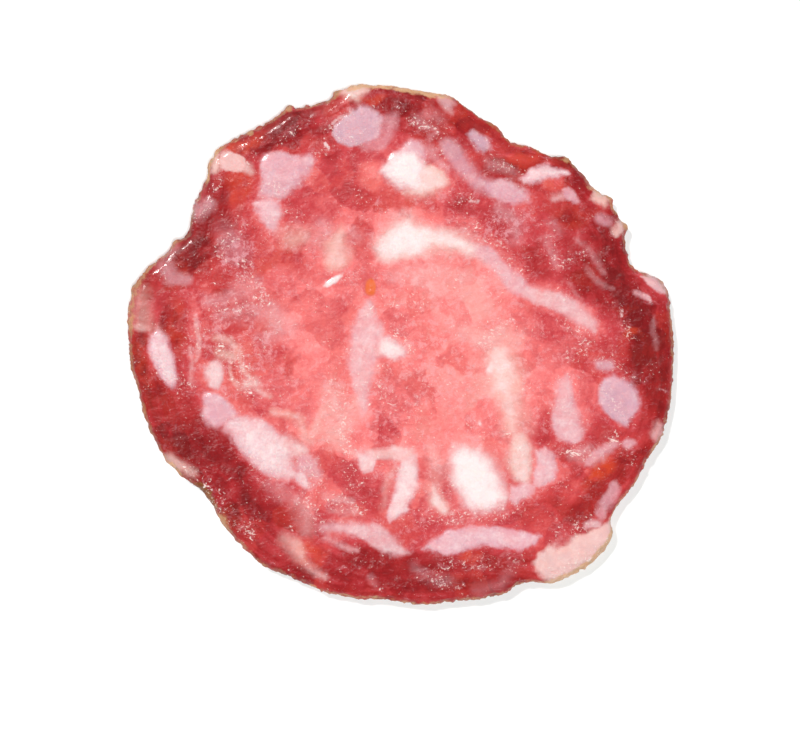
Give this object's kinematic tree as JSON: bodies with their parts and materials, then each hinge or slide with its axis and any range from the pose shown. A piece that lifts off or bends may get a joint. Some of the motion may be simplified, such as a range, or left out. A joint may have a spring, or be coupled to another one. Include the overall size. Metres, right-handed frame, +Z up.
{
  "type": "cured sausage slice",
  "caption": "Flat, uneven oval slice of peeled cured sausage with fat pieces in marbled lean, to lie on a plate, board or sandwich.",
  "frame": {"origin": "centre of the slice's bounding box, on the surface that its lower cut face lies on", "axes": "+Z up out of the upper cut face, +X along the slice's longest extent, +Y across it"},
  "size_m": [0.0548, 0.052, 0.0028],
  "materials": {
    "cured_meat": "gloss"
  },
  "bodies": {
    "root": {"sausage_slice": "cured_meat"}
  },
  "joints": []
}
